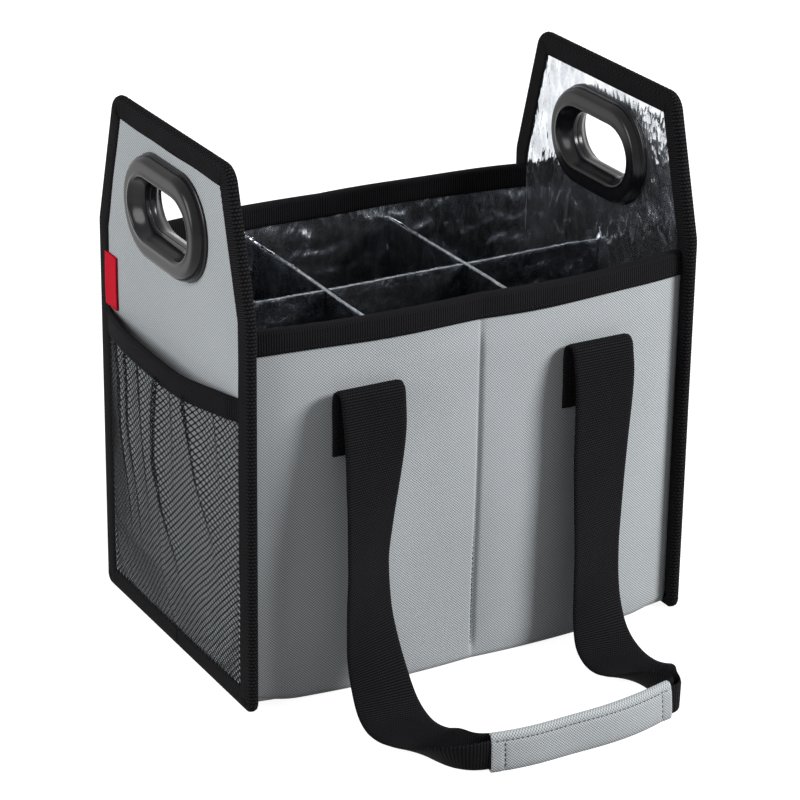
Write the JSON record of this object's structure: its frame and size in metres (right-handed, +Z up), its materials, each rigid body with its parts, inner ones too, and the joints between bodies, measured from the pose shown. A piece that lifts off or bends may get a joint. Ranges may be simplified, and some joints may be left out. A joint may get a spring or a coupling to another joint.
{
  "type": "bottle carrier bag",
  "caption": "Soft open-topped carrier bag with padded walls, slotted dividers, raised ends with hand holes, a mesh side pocket and webbing carrying straps.",
  "frame": {"origin": "on the floor under the middle of the bag, on the face of its bottom", "axes": "+X along the bag away from the side pocket, +Y from the front wall with the wrapped strap to the back wall, +Z up"},
  "size_m": [0.2975, 0.416, 0.303],
  "materials": {
    "grey_cloth": "woven, matt",
    "black_tape": "ribbed, matt",
    "black_webbing": "ribbed, matt",
    "black_plastic": "glossy",
    "foil_lining": "crinkled foil",
    "divider_film": "crinkled foil",
    "white_foam": "matt",
    "stiff_board": "matt",
    "black_mesh": "open mesh",
    "red_tab": "woven, satin"
  },
  "bodies": {
    "root": {"body_shell": "grey_cloth", "base_board": "stiff_board", "front_foam_left": "white_foam", "front_foam_right": "white_foam", "back_foam_left": "white_foam", "back_foam_right": "white_foam", "body_lining": "foil_lining", "rim_binding_front": "black_tape", "rim_binding_back": "black_tape", "end_lining_left": "foil_lining", "end_board_left": "stiff_board", "end_panel_left": "grey_cloth", "end_binding_left": "black_tape", "grip_outer_left": "black_plastic", "grip_inner_left": "black_plastic", "divider_cross_left": "divider_film", "end_lining_right": "foil_lining", "end_board_right": "stiff_board", "end_panel_right": "grey_cloth", "end_binding_right": "black_tape", "grip_outer_right": "black_plastic", "grip_inner_right": "black_plastic", "divider_cross_right": "divider_film", "divider_long": "divider_film", "strap_front": "black_webbing", "strap_back": "black_webbing", "grip_wrap": "grey_cloth", "pocket_mesh": "black_mesh", "pocket_band": "black_tape", "side_tab": "red_tab"}
  },
  "joints": []
}
